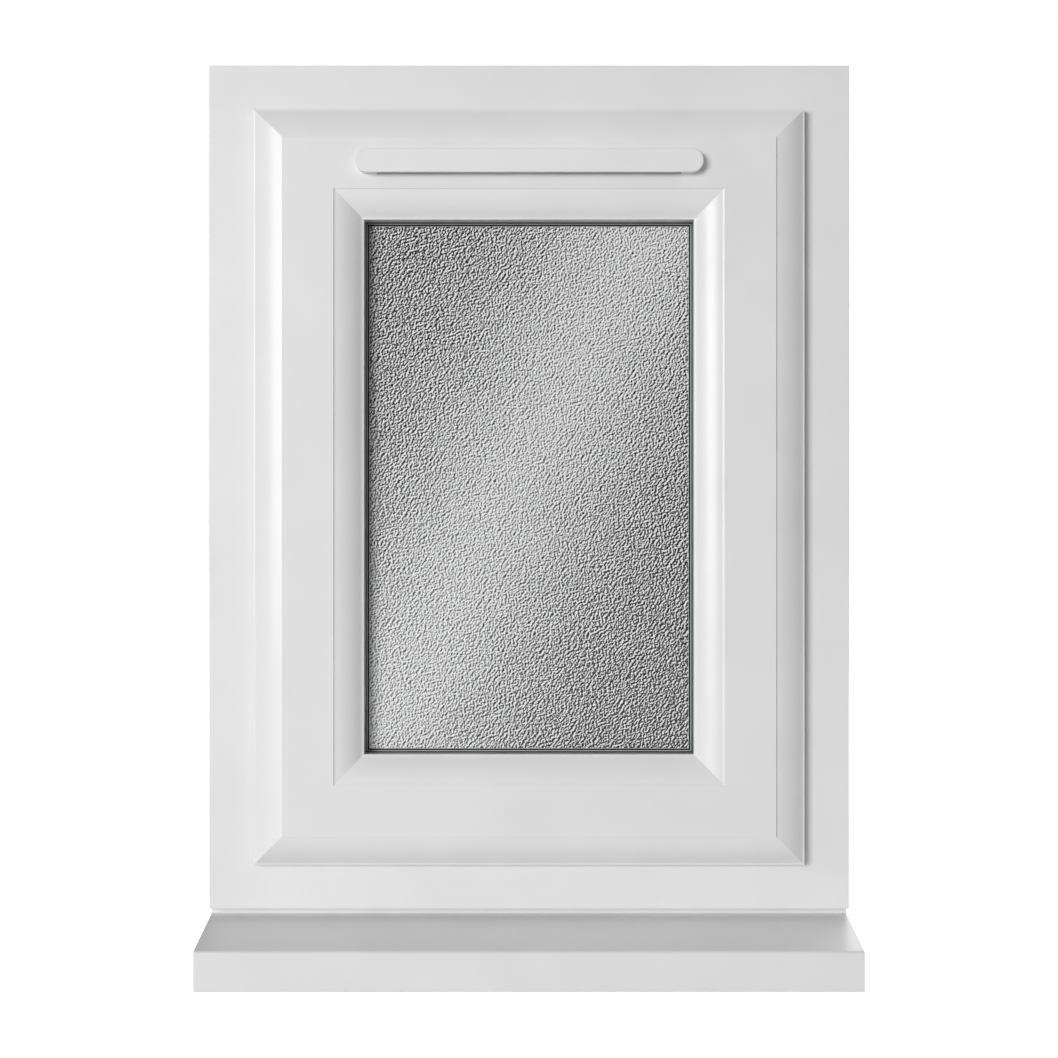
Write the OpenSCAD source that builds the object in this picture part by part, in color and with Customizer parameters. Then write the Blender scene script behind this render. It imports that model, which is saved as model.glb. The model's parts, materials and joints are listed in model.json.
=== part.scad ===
// Side-hung casement window in white multi-chamber plastic, opening outwards on two friction stays.
// +X is to the right as seen from outside, the outside faces -Y and +Z is up, in millimetres.
// The origin is on the sill's flat underside, at mid width, straight below the frame's outside face.
// Sections are drawn in (u, y): u is the distance in from the frame's outer edge, y the depth.

/* [Outer frame] */
// Overall width of the frame
frame_w = 620; // [600:5:700]
// Height of the frame above the sill
frame_h = 817; // [760:1:960]
// Depth of the frame from outside face to room face
frame_d = 70; // [70:1:72]
// Width of the frame's face, up to the rebate that holds the sash
frame_face = 55; // [55:0.5:56]
// How far the stop on the room side stands past the rebate
stop_w = 20; // [18:1:20]
// Thickness of the stop
stop_d = 17; // [16:1:18]
// Wall thickness of the plastic profiles
wall = 2.8; // [2.4:0.1:2.8]
// Thickness of the walls between the profiles' chambers
web = 2.5; // [2:0.1:2.8]

/* [Sash] */
// Distance from the frame's outer edge to the sash's outer edge
sash_margin = 44.5; // [44:0.5:45]
// How far the sash's face stands in front of the frame's face
sash_proud = 23; // [22:0.5:24]
// Width of the convex moulding round the outside of the sash, with its lip
outer_mould_w = 29; // [28:0.5:30]
// Width of the flat face between the two mouldings
sash_flat_w = 49.8; // [49.5:0.1:51]
// Width of the convex moulding round the glass, with its lip
inner_mould_w = 28; // [27.5:0.5:29]
// Gap between the frame's rebate and the edge of the sash
cavity = 12; // [12:0.5:13]
// Depth position of the sash's room face
sash_back = 50; // [49:0.5:50]

/* [Glazing] */
// Thickness of one pane
pane_t = 4; // [4:1:6]
// Thickness of the whole sealed unit
unit_t = 28; // [24:1:28]
// Depth of the glass behind the sash's face
glass_recess = 29; // [28:0.5:29.5]

/* [Sill] */
// How far the sill stands out in front of the frame
sill_out = 80; // [60:5:110]
// Height of the sill under the frame
sill_t = 35; // [35:1:40]
// Depth of the sill's hanging nose
nose_h = 37.4; // [34:0.2:40]
// Fall of the sill's top from the frame to the nose
sill_fall = 14.9; // [12:0.1:16]

/* [Trickle vent] */
// Length of the vent's covers
vent_l = 332; // [300:2:340]
// Height of the vent's covers
vent_h = 22.5; // [22.5:0.5:24]
// How far the outside cover stands out
vent_out = 10; // [9:0.5:11]

/* [Friction stays] */
// Length of the short arm between its two pivots
short_arm = 60; // [59:0.5:62]
// Angle of the short arm to the track with the window closed, in degrees
arm_lead = 6; // [5:0.5:8]
// Distance between the two pivots on the sash bar
bar_pivots = 100; // [96:1:110]
// Distance from the edge of the sash to the stay's fixed pivot
pivot_in = 100; // [100:0.5:101]

/* [Lock and handle] */
// Travel of the locking bar over a quarter turn of the handle
lock_travel = 20; // [18:0.5:20]
// Height of each locking cam above and below the handle
cam_spread = 210; // [180:5:220]
// Distance from the sash's edge to the spindle
backset = 28; // [27:0.5:29]

/* [Hidden] */

// Colours
white_plastic = [0.92, 0.92, 0.91];
black_rubber = [0.06, 0.06, 0.06];
bare_steel = [0.62, 0.63, 0.64];
zinc_steel = [0.74, 0.74, 0.72];
grey_plastic = [0.35, 0.36, 0.38];
clear_glass = [0.75, 0.82, 0.80, 0.5];

// Depth positions, from the frame's outside face inwards
stop_front = frame_d - stop_d;
glass_front = glass_recess - sash_proud;
glass_back = glass_front + unit_t;
flange_back = -2.5;
gasket_t = 2.5;

// The frame's chamber that holds the steel, as two corners in (u, y)
steel_chamber = [[13.5, 13.5], [43.5, 49]];
steel_play = 0.5;
steel_wall = 1.5;
frame_steel_short = 80;
sash_steel_short = 155;

// Distances in from the frame's outer edge
stop_u = frame_face + stop_w;
sash_edge = frame_face + cavity;
crease_out = sash_margin + outer_mould_w;
crease_in = crease_out + sash_flat_w;
lip_in = crease_in + inner_mould_w;
lip_w = 2;
rebate_u = lip_in - 19;
glass_u = rebate_u + 5;

// Heights
z_bottom = sill_t;
z_top = sill_t + frame_h;
z_mid = (z_bottom + z_top) / 2;

// Mouldings: the slope of each convex curve at its crease and at its lip
outer_slope = [8, 37];
inner_slope = [2, 42];
outer_step = 1.3;
inner_step = 0.9;
outer_r = (outer_mould_w - lip_w) / (sin(outer_slope[1]) - sin(outer_slope[0]));
inner_r = (inner_mould_w - lip_w) / (sin(inner_slope[1]) - sin(inner_slope[0]));
outer_centre = [crease_out + outer_r * sin(outer_slope[0]),
                -(sash_proud - outer_step) + outer_r * cos(outer_slope[0])];
inner_centre = [crease_in - inner_r * sin(inner_slope[0]),
                -(sash_proud - inner_step) + inner_r * cos(inner_slope[0])];

// Ribs between the sash's chambers
front_rib_y = -4.5;
sash_rib_u = 97;

// Hardware groove round the sash's edge
groove_y = 24;
groove_w = 16;
groove_d = 5.6;

// Glazing bead's clip
clip_y = 42;
clip_d = 1.5;

// Sill section
seat_front = 14.6;
seat_step = 7.1;
slope_top = sill_t - seat_step;
nose_top = slope_top - sill_fall;
nose_t = 10;
sill_wall = 2.6;
nose_low = nose_top - nose_h;
cap_t = 2;
cap_w = 16;
sill_flat_front = -45;
sill_chambers = [[-65, -45.5], [-43, -17.5], [-15, 12]];
seat_rib_y = 41;

// Wall fixings through the jambs
fixing_from_end = 150;
fixing_r = 4;
fixing_y = 33;

// Screws: length, shank radius, head radius and head height
track_screw = [15.8, 2, 3.8, 1.8];
bar_screw = [19, 2, 3.8, 1.8];
keep_screw = [13.8, 2, 3.8, 1.8];
lock_screw = [12, 2, 3.8, 1.8];
sill_screw = [70, 2.4, 4.8, 2.4];
handle_screw = [17, 2.5, 4.8, 2.4];
vent_screw = [22, 1.6, 3, 1.6];
sill_screws_x = [-180, 0, 180];

// Vent
vent_z = z_top - (crease_out + crease_in) / 2;
vent_wall = 1.5;
canopy_lip = 4;
vent_slot_h = 13;
vent_slot = [5, 145];
vent_in = 12;
flap_half = 149.6;
flap_rod_r = 1.5;
flap_rod_y = sash_back + vent_in - 1.2;
flap_rod_z = vent_z - 6.6;
flap_top = vent_z + 7.2;
vent_screw_x = vent_l / 2 - 7;

// Friction stays: x from the fixed pivot, y in depth, z up from the rebate
stay_x = -frame_w / 2 + sash_margin + pivot_in;
track_y = 24;
track_w = 19;
track_h = 5;
track_gauge = 1.2;
track_from = -85;
track_to = 2 * bar_pivots + 36;
pivot_b = [-short_arm * cos(arm_lead), track_y - short_arm * sin(arm_lead)];
pivot_d = pivot_b + [bar_pivots, 0];
pivot_e = [2 * bar_pivots, track_y];
arm_z = 5.5;
arm_t = 3;
arm_w = 16;
bar_z = 9;
rivet_r = 3;
fit = 0.06;
open_pivot_gap = 0.3;
bar_from = -72;
bar_to = 110;
track_screws_x = [-72, -25, 26, 2 * bar_pivots + 26];
bar_screws_x = [-36, 8, 72, 98];

// Lock
sash_edge_x = frame_w / 2 - sash_edge;
handle_x = sash_edge_x - backset;
pinion_teeth = 12;
pinion_r = lock_travel / (PI / 2);
tooth_module = 2 * pinion_r / pinion_teeth;
pressure = 25;
addendum = 0.9 * tooth_module;
dedendum = 1.15 * tooth_module;
backlash = 0.12;
lock_y = groove_y + groove_w / 2;
plate_t = 2.2;
bar_t = 2.4;
bar_back_x = sash_edge_x - plate_t - 0.2 - bar_t;
lock_half = cam_spread + 45;
bar_half = cam_spread + 5;
inner_lock_screws = [-100, 100];
case_y = [lock_y - 7.4, lock_y + 7.4];
case_wall = 1.8;
case_half = 42;
case_far_x = handle_x - 17;
cam_r = 6;
cam_pin_r = 3;
cam_tip_x = frame_w / 2 - frame_face - 3.5;
cam_z = [z_mid - cam_spread, z_mid + cam_spread];
keep_t = 2;
keep_y = [lock_y - 11, lock_y + 11];
keep_hook_h = 7;
keep_reach = [-16, 40];

// Handle
base_h = 66;
base_w = 28;
base_t = 3;
cover_t = 10;
hub_r = 12;
hub_y = [sash_back + cover_t + 0.3, sash_back + 36];
grip_l = 118;
grip_y = sash_back + 36;
screw_spacing = 43;
spindle_w = 7;
button_r = 5;
button_gap = 0.08;
button_y = [hub_y[1] - 10, hub_y[1] + 4];
button_travel = 3;

// Small helpers

// Outline with its corners rounded: [x, y, how far the curve reaches from the corner],
// or [x, y] for a sharp one
function rounded(corners, steps = 4) =
    [for (i = [0:len(corners) - 1])
        let (n = len(corners), p = [corners[i][0], corners[i][1]], reach = corners[i][2])
        each is_undef(reach) ? [p]
            : let (before = corners[(i + n - 1) % n], after = corners[(i + 1) % n],
                   from = p + reach * unit([before[0], before[1]] - p),
                   to = p + reach * unit([after[0], after[1]] - p))
              [for (k = [0:steps]) let (t = k / steps)
                  (1 - t) * (1 - t) * from + 2 * t * (1 - t) * p + t * t * to]];

function unit(v) = v / norm(v);

function arc(centre, r, from, to, steps = 8) =
    [for (i = [0:steps]) let (a = from + (to - from) * i / steps) centre + r * [cos(a), sin(a)]];

// Box between two corners
module block(a, b) {
    translate(a)
        cube(b - a);
}

// Flat rectangle between two corners
module patch(a, b) {
    translate(a)
        square(b - a);
}

// Trapezium that keeps one side of the frame between its 45-degree mitres
module mitre(side) {
    reach = 200;
    w = frame_w / 2;
    outline = side == "left" ? [[-w, z_bottom], [-w, z_top], [reach - w, z_top - reach],
                                [reach - w, z_bottom + reach]]
        : side == "right" ? [[w, z_bottom], [w - reach, z_bottom + reach], [w - reach, z_top - reach],
                             [w, z_top]]
        : side == "top" ? [[-w, z_top], [w, z_top], [w - reach, z_top - reach], [reach - w, z_top - reach]]
        : [[-w, z_bottom], [reach - w, z_bottom + reach], [w - reach, z_bottom + reach], [w, z_bottom]];
    translate([0, 100, 0])
        rotate([90, 0, 0])
            linear_extrude(150)
                polygon(outline);
}

// The section in (u, y) run along one side of the frame, unmitred
module run(side) {
    if (side == "left")
        translate([-frame_w / 2, 0, z_bottom])
            linear_extrude(frame_h)
                children();
    if (side == "right")
        translate([frame_w / 2, 0, z_bottom])
            mirror([1, 0, 0])
                linear_extrude(frame_h)
                    children();
    if (side == "top")
        translate([-frame_w / 2, 0, z_top])
            rotate([0, 90, 0])
                linear_extrude(frame_w)
                    children();
    if (side == "bottom")
        translate([-frame_w / 2, 0, z_bottom])
            mirror([0, 0, 1])
                rotate([0, 90, 0])
                    linear_extrude(frame_w)
                        children();
}

module bar(side) {
    intersection() {
        run(side)
            children();
        mitre(side);
    }
}

module ring() {
    for (side = ["left", "right", "top", "bottom"])
        bar(side)
            children();
}

// Screw with its head's top at z = 0, pointing down; grow opens it out into its hole
module screw(kind, grow = 0) {
    translate([0, 0, -kind[0]])
        cylinder(h = kind[0] - kind[3] / 2, r = kind[1] + grow, $fn = 24);
    translate([0, 0, -kind[3]])
        cylinder(h = kind[3], r1 = kind[1] + grow, r2 = kind[2] + grow, $fn = 24);
}

module screw_hole(kind) {
    screw(kind + [1, 0, 0, 0], grow = fit);
}

module cross_screw(kind) {
    slot = [kind[2] * 0.6, 0.4, kind[3] * 0.6];
    difference() {
        screw(kind);
        for (a = [0, 90])
            rotate(a)
                block(-slot, [slot[0], slot[1], 1]);
    }
}

// Upright oblong with round ends, in the (x, z) plane, from y_from inwards to y_to
module oblong(w, h, y_from, y_to) {
    r = min(w, h) / 2;
    translate([0, y_to, 0])
        rotate([90, 0, 0])
            linear_extrude(y_to - y_from) {
                square([w > h ? w - 2 * r : w, w > h ? h : h - 2 * r], center = true);
                for (s = [-1, 1])
                    translate(w > h ? [s * (w / 2 - r), 0] : [0, s * (h / 2 - r)])
                        circle(r = r, $fn = 64);
            }
}

// Cylinder along Y from y_from to y_to
module y_rod(r, y_from, y_to) {
    translate([0, y_to, 0])
        rotate([90, 0, 0])
            cylinder(h = y_to - y_from, r = r, $fn = 48);
}

// Places

// Rebate of the bottom rail or, turned over, of the head
module at_stay(level) {
    if (level == "lower")
        translate([stay_x, 0, z_bottom + frame_face])
            children();
    else
        translate([stay_x, 0, z_top - frame_face])
            mirror([0, 0, 1])
                children();
}

module at_track_screws() {
    for (level = ["lower", "upper"], x = track_screws_x)
        at_stay(level)
            translate([x, track_y, track_gauge + 1.8])
                children();
}

// Heads face the rebate, points go into the sash
module at_bar_screws() {
    for (level = ["lower", "upper"], x = bar_screws_x)
        at_stay(level)
            translate([x, pivot_b[1], bar_z])
                mirror([0, 0, 1])
                    children();
}

module at_keep_screws() {
    for (z = cam_z, s = [-10, 34])
        translate([frame_w / 2 - frame_face - keep_t, lock_y, z + s])
            rotate([0, -90, 0])
                children();
}

module at_lock_screws() {
    for (z = concat([-lock_half + 10, lock_half - 10], inner_lock_screws))
        translate([sash_edge_x, lock_y, z_mid + z])
            rotate([0, 90, 0])
                children();
}

module at_fixings(side) {
    for (z = [z_bottom + fixing_from_end, z_top - fixing_from_end])
        translate([side * frame_w / 2, fixing_y, z])
            rotate([0, 90, 0])
                children();
}

module at_sill_screws() {
    for (x = sill_screws_x)
        translate([x, fixing_y, z_bottom + frame_face])
            children();
}

module at_handle_screws() {
    for (s = [-1, 1])
        translate([handle_x, sash_back + base_t, z_mid + s * screw_spacing / 2])
            rotate([-90, 0, 0])
                children();
}

// Through the ends of the inside housing
module at_vent_screws() {
    for (s = [-1, 1])
        translate([s * vent_screw_x, sash_back + vent_in - 2, vent_z])
            rotate([-90, 0, 0])
                children();
}

// Outer frame

module frame_section() {
    low = steel_chamber[0];
    high = steel_chamber[1];
    difference() {
        polygon(rounded([[0, 0, 0.8], [frame_face, 0, 1.2], [frame_face, stop_front],
                         [stop_u, stop_front, 1.5], [stop_u, frame_d, 1.5], [0, frame_d, 0.8]]));
        patch([wall, wall], [frame_face - wall, low[1] - web]);
        patch([wall, low[1]], [low[0] - web, high[1]]);
        patch(low, high);
        patch([high[0] + web, low[1]], [frame_face - wall, high[1]]);
        patch([wall, high[1] + web], [frame_face - 2 * web, frame_d - wall]);
        patch([frame_face - web, stop_front + wall], [stop_u - wall, frame_d - wall]);
    }
}

module frame_head() {
    color(white_plastic)
        difference() {
            bar("top")
                frame_section();
            at_track_screws()
                screw_hole(track_screw);
        }
}

module frame_bottom_rail() {
    color(white_plastic)
        difference() {
            bar("bottom")
                frame_section();
            at_track_screws()
                screw_hole(track_screw);
            at_sill_screws()
                screw_hole(sill_screw);
        }
}

module frame_hinge_jamb() {
    color(white_plastic)
        difference() {
            bar("left")
                frame_section();
            at_fixings(-1)
                translate([0, 0, -1])
                    cylinder(h = frame_face + 2, r = fixing_r, $fn = 48);
        }
}

module frame_lock_jamb() {
    color(white_plastic)
        difference() {
            bar("right")
                frame_section();
            at_fixings(1)
                translate([0, 0, -frame_face - 1])
                    cylinder(h = frame_face + 2, r = fixing_r, $fn = 48);
            at_keep_screws()
                screw_hole(keep_screw);
        }
}

// Square steel tubes that slide into the largest chamber of each bar, short of the welded corners
module frame_steels() {
    low = steel_chamber[0] + [steel_play, steel_play];
    high = steel_chamber[1] - [steel_play, steel_play];
    color(zinc_steel)
        difference() {
            intersection() {
                union() {
                    for (side = ["left", "right", "top", "bottom"])
                        run(side)
                            tube(low, high);
                }
                union() {
                    block([-frame_w, 0, z_bottom + frame_steel_short],
                          [frame_w, frame_d, z_top - frame_steel_short]);
                    block([frame_steel_short - frame_w / 2, 0, 0],
                          [frame_w / 2 - frame_steel_short, frame_d, z_top]);
                }
            }
            at_fixings(-1)
                cylinder(h = frame_face, r = fixing_r, $fn = 48);
            at_fixings(1)
                translate([0, 0, -frame_face])
                    cylinder(h = frame_face, r = fixing_r, $fn = 48);
            at_track_screws()
                screw_hole(track_screw);
            at_sill_screws()
                screw_hole(sill_screw);
        }
}

// Section of a rectangular tube between two corners
module tube(low, high) {
    inset = [steel_wall, steel_wall];
    difference() {
        patch(low, high);
        patch(low + inset, high - inset);
    }
}

// Bubble seal on the face of the stop, where the closed sash presses on it
module frame_seal() {
    color(black_rubber)
        ring()
            polygon(concat([[sash_edge - 1, stop_front], [sash_edge - 1, stop_front - 1]],
                           arc([sash_edge + 2.5, stop_front - 1], 1.7, 180, 360),
                           [[stop_u - 2, stop_front - 1], [stop_u - 2, stop_front]]));
}

module sill_outline() {
    polygon(rounded([[frame_d, 0, 0.5], [frame_d, sill_t, 0.5], [seat_front, sill_t, 0.8],
                     [seat_front, slope_top, 1.5], [-sill_out, nose_top, 3], [-sill_out, nose_low, 1.5],
                     [-sill_out + nose_t, nose_low, 1.5], [-sill_out + nose_t, -3, 1.5],
                     [sill_flat_front, 0]]));
}

module sill_section() {
    slope = (slope_top - nose_top) / (seat_front + sill_out);
    function top_at(y) = slope_top - slope * (seat_front - y) - sill_wall;
    difference() {
        sill_outline();
        patch([seat_front + sill_wall, sill_wall], [seat_rib_y, sill_t - sill_wall]);
        patch([seat_rib_y + web, sill_wall], [frame_d - sill_wall, sill_t - sill_wall]);
        for (c = sill_chambers)
            polygon([[c[0], sill_wall], [c[1], sill_wall], [c[1], top_at(c[1])], [c[0], top_at(c[0])]]);
        patch([-sill_out + sill_wall, nose_low + 4], [-sill_out + nose_t - sill_wall, nose_top - 3.5]);
    }
}

// Runs a section in (y, z) along X from x_from to x_to
module along_x(x_from, x_to) {
    translate([x_from, 0, 0])
        rotate([90, 0, 90])
            linear_extrude(x_to - x_from)
                children();
}

module sill() {
    color(white_plastic)
        difference() {
            along_x(cap_w - frame_w / 2, frame_w / 2 - cap_w)
                sill_section();
            at_sill_screws()
                screw_hole(sill_screw);
        }
}

// End piece of the sill, closed by a plate
module sill_cap(side) {
    color(white_plastic)
        mirror([side > 0 ? 1 : 0, 0, 0]) {
            along_x(-frame_w / 2, cap_t - frame_w / 2)
                sill_outline();
            along_x(cap_t - frame_w / 2, cap_w - frame_w / 2)
                sill_section();
        }
}

module sill_cap_left() {
    sill_cap(-1);
}

module sill_cap_right() {
    sill_cap(1);
}

module sill_screws() {
    color(zinc_steel)
        at_sill_screws()
            cross_screw(sill_screw);
}

// Friction stays

module stay_track(level) {
    y = [track_y - track_w / 2, track_y + track_w / 2];
    color(bare_steel)
        difference() {
            at_stay(level) {
                block([track_from, y[0], 0], [track_to, y[1], track_gauge]);
                for (side = [0, 1])
                    mirror([0, side, 0])
                        translate([0, side ? -2 * track_y : 0, 0]) {
                            block([track_from, y[0], 0], [track_to, y[0] + track_gauge, track_h]);
                            block([track_from, y[0], track_h - 1], [track_to, y[0] + 4, track_h]);
                        }
            }
            at_stay(level)
                translate([0, track_y, -1])
                    cylinder(h = 4, r = rivet_r + fit, $fn = 48);
            at_track_screws()
                screw_hole(track_screw);
        }
}

module upper_stay_track() {
    stay_track("upper");
}

module lower_stay_track() {
    stay_track("lower");
}

// Shouldered rivets that hold the short arms to the tracks
module track_rivets() {
    color(bare_steel)
        for (level = ["lower", "upper"])
            at_stay(level)
                translate([0, track_y, 0]) {
                    cylinder(h = arm_z + arm_t, r = rivet_r, $fn = 48);
                    translate([0, 0, track_gauge])
                        cylinder(h = arm_z - 0.1 - track_gauge, r = 5, $fn = 48);
                }
}

module track_screws() {
    color(zinc_steel)
        at_track_screws()
            cross_screw(track_screw);
}

// Flat arm between two pivots, with round ends
module arm(p, q, hole_p, hole_q) {
    reach = norm(q - p);
    translate([p[0], p[1], arm_z])
        rotate(atan2(q[1] - p[1], q[0] - p[0]))
            linear_extrude(arm_t)
                difference() {
                    union() {
                        patch([0, -arm_w / 2], [reach, arm_w / 2]);
                        for (x = [0, reach])
                            translate([x, 0])
                                circle(r = arm_w / 2, $fn = 64);
                    }
                    circle(r = hole_p, $fn = 48);
                    translate([reach, 0])
                        circle(r = hole_q, $fn = 48);
                }
}

module lower_short_arm() {
    color(bare_steel)
        at_stay("lower")
            arm(pivot_b, [0, track_y], rivet_r + fit, rivet_r + fit);
}

// The pivot between this arm and the sash bar is the opened one of the linkage, so its hole is wider
module upper_short_arm() {
    color(bare_steel)
        at_stay("upper")
            arm(pivot_b, [0, track_y], rivet_r + open_pivot_gap, rivet_r + fit);
}

module long_arm(level) {
    color(bare_steel)
        at_stay(level)
            arm(pivot_d, pivot_e, rivet_r + fit, rivet_r + fit);
}

module upper_long_arm() {
    long_arm("upper");
}

module lower_long_arm() {
    long_arm("lower");
}

// Nylon shoe that slides in the track, with the stud that the long arm turns on
module shoe(level) {
    half = track_w / 2 - track_gauge - 0.3;
    color(grey_plastic)
        at_stay(level)
            translate([pivot_e[0], track_y, 0]) {
                block([-15, -half, track_gauge + 0.2], [15, half, track_h - 1.3]);
                block([-15, -5, track_gauge + 0.2], [15, 5, arm_z - 0.2]);
                translate([0, 0, track_gauge + 0.2])
                    cylinder(h = arm_z + arm_t - track_gauge - 0.2, r = rivet_r, $fn = 48);
            }
}

module upper_shoe() {
    shoe("upper");
}

module lower_shoe() {
    shoe("lower");
}

module sash_bar(level) {
    color(bare_steel)
        difference() {
            at_stay(level)
                block([bar_from, pivot_b[1] - arm_w / 2, bar_z], [bar_to, pivot_b[1] + arm_w / 2, cavity]);
            at_stay(level)
                for (p = [pivot_b, pivot_d])
                    translate([p[0], p[1], bar_z - 1])
                        cylinder(h = 6, r = rivet_r + fit, $fn = 48);
            at_bar_screws()
                screw_hole(bar_screw);
        }
}

module upper_sash_bar() {
    sash_bar("upper");
}

module lower_sash_bar() {
    sash_bar("lower");
}

module bar_rivets() {
    color(bare_steel)
        for (level = ["lower", "upper"], p = [pivot_b, pivot_d])
            at_stay(level)
                translate([p[0], p[1], arm_z]) {
                    cylinder(h = cavity - arm_z, r = rivet_r, $fn = 48);
                    translate([0, 0, arm_t + 0.1])
                        cylinder(h = bar_z - arm_z - arm_t - 0.2, r = 5, $fn = 48);
                }
}

module bar_screws() {
    color(zinc_steel)
        at_bar_screws()
            cross_screw(bar_screw);
}

// Sash

// Depth of the two mouldings at a distance u
function outer_y(u) = outer_centre[1] - sqrt(outer_r ^ 2 - (u - outer_centre[0]) ^ 2);
function inner_y(u) = inner_centre[1] - sqrt(inner_r ^ 2 - (u - inner_centre[0]) ^ 2);

module sash_outline() {
    polygon(rounded(concat(
        [[sash_margin, flange_back, 0.5],
         [sash_margin, outer_centre[1] - outer_r * cos(outer_slope[1]), 0.9]],
        arc(outer_centre, outer_r, 270 - outer_slope[1], 270 - outer_slope[0], 10),
        [[crease_out, -sash_proud, 0.4], [crease_in, -sash_proud, 0.3]],
        arc(inner_centre, inner_r, 270 + inner_slope[0], 270 + inner_slope[1], 10),
        [[lip_in, inner_centre[1] - inner_r * cos(inner_slope[1]), 0.9],
         [lip_in, glass_front - gasket_t], [rebate_u, glass_front - gasket_t],
         [rebate_u, clip_y], [rebate_u - clip_d, clip_y],
         [rebate_u - clip_d, clip_y + 4], [rebate_u, clip_y + 4],
         [rebate_u, sash_back, 0.4], [sash_edge, sash_back, 1.2],
         [sash_edge, groove_y + groove_w], [sash_edge + groove_d, groove_y + groove_w],
         [sash_edge + groove_d, groove_y], [sash_edge, groove_y],
         [sash_edge, flange_back]])));
}

module sash_section() {
    front = -sash_proud + wall;
    behind = glass_front - gasket_t - wall;
    deep = sash_edge + groove_d + wall;
    difference() {
        sash_outline();
        polygon(concat([for (u = [sash_margin + 4:4:crease_out - 1]) [u, outer_y(u) + wall]],
                       [[crease_out, flange_back - wall], [sash_margin + 4, flange_back - wall]]));
        patch([deep, front], [crease_in - 1, front_rib_y]);
        polygon(concat([for (u = [crease_in + 1.5:4:lip_in - wall]) [u, inner_y(u) + wall]],
                       [[lip_in - wall - 1, behind], [crease_in + 1.5, behind]]));
        patch([deep, front_rib_y + web], [sash_rib_u, sash_back - wall]);
        patch([sash_rib_u + web, front_rib_y + web], [crease_in - 1, sash_back - wall]);
    }
}

module sash_top_rail() {
    color(white_plastic)
        difference() {
            bar("top")
                sash_section();
            vent_slots();
            at_bar_screws()
                screw_hole(bar_screw);
            at_vent_screws()
                screw_hole(vent_screw);
        }
}

module vent_slots() {
    for (s = [0, 1])
        mirror([s, 0, 0])
            block([vent_slot[0], -sash_proud - 1, vent_z - vent_slot_h / 2],
                  [vent_slot[1], sash_back + 1, vent_z + vent_slot_h / 2]);
}

module sash_bottom_rail() {
    color(white_plastic)
        difference() {
            bar("bottom")
                sash_section();
            at_bar_screws()
                screw_hole(bar_screw);
        }
}

module sash_hinge_stile() {
    color(white_plastic)
        bar("left")
            sash_section();
}

// Pocket for the lock case, and the holes that the spindle and the handle's screws go through
module lock_pocket() {
    block([case_far_x - 0.5, case_y[0] - 0.3, z_mid - case_half - 0.5],
          [sash_edge_x - groove_d + 1, case_y[1] + 0.3, z_mid + case_half + 0.5]);
    translate([handle_x, 0, z_mid])
        y_rod(7.6, case_y[1], sash_back + 1);
    at_handle_screws()
        screw_hole(handle_screw);
}

module sash_lock_stile() {
    color(white_plastic)
        difference() {
            bar("right")
                sash_section();
            lock_pocket();
            at_lock_screws()
                screw_hole(lock_screw);
        }
}

// The top rail has none, because the vent's slots go through it
module sash_steels() {
    low = [sash_rib_u + web + steel_play, front_rib_y + web + steel_play];
    high = [crease_in - 1 - steel_play, sash_back - wall - steel_play];
    color(zinc_steel)
        difference() {
            union() {
                for (side = ["left", "right", "bottom"])
                    intersection() {
                        run(side)
                            tube(low, high);
                        if (side == "bottom")
                            block([sash_steel_short - frame_w / 2, low[1], 0],
                                  [frame_w / 2 - sash_steel_short, high[1], z_top]);
                        else
                            block([-frame_w, low[1], z_bottom + sash_steel_short],
                                  [frame_w, high[1], z_top - sash_steel_short]);
                    }
            }
            block([case_far_x - 0.5, case_y[0] - 0.3, z_mid - case_half - 0.5],
                  [sash_edge_x, sash_back, z_mid + case_half + 0.5]);
        }
}

module sash_seal() {
    u = sash_margin + 4;
    color(black_rubber)
        ring()
            polygon(concat([[u, flange_back], [u, flange_back + 0.8]],
                           arc([u + 3, flange_back + 0.8], 1.4, 180, 0),
                           [[u + 6, flange_back + 0.8], [u + 6, flange_back]]));
}

// Glazing

module pane(y) {
    block([glass_u - frame_w / 2, y, z_bottom + glass_u],
          [frame_w / 2 - glass_u, y + pane_t, z_top - glass_u]);
}

module outer_pane() {
    color(clear_glass)
        pane(glass_front);
}

module inner_pane() {
    color(clear_glass)
        pane(glass_back - pane_t);
}

module spacer_frame() {
    color(bare_steel)
        ring()
            patch([glass_u + 6, glass_front + pane_t], [glass_u + 15.5, glass_back - pane_t]);
}

module edge_sealant() {
    color(black_rubber)
        ring()
            patch([glass_u, glass_front + pane_t], [glass_u + 6, glass_back - pane_t]);
}

module outer_gasket() {
    color(black_rubber)
        ring()
            polygon([[rebate_u + 8, glass_front - gasket_t], [lip_in, glass_front - gasket_t],
                     [lip_in + 0.9, glass_front - 1.4], [lip_in + 0.9, glass_front],
                     [rebate_u + 8, glass_front]]);
}

module bead_gasket() {
    color(black_rubber)
        ring()
            polygon([[rebate_u + 8, glass_back], [lip_in + 1.8, glass_back],
                     [lip_in + 1.8, glass_back + 1.2], [lip_in, glass_back + gasket_t],
                     [rebate_u + 8, glass_back + gasket_t]]);
}

module bead(side) {
    front = glass_back + gasket_t;
    round_r = 10;
    color(white_plastic)
        bar(side)
            polygon(concat([[rebate_u + 0.1, front], [lip_in, front]],
                           arc([lip_in - round_r, sash_back - round_r], round_r, 0, 90),
                           [[rebate_u + 0.1, sash_back], [rebate_u + 0.1, clip_y + 3.8],
                            [rebate_u - clip_d + 0.2, clip_y + 3.8],
                            [rebate_u - clip_d + 0.2, clip_y + 0.2], [rebate_u + 0.1, clip_y + 0.2]]));
}

module bead_top() {
    bead("top");
}

module bead_bottom() {
    bead("bottom");
}

module bead_hinge_side() {
    bead("left");
}

module bead_lock_side() {
    bead("right");
}

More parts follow.
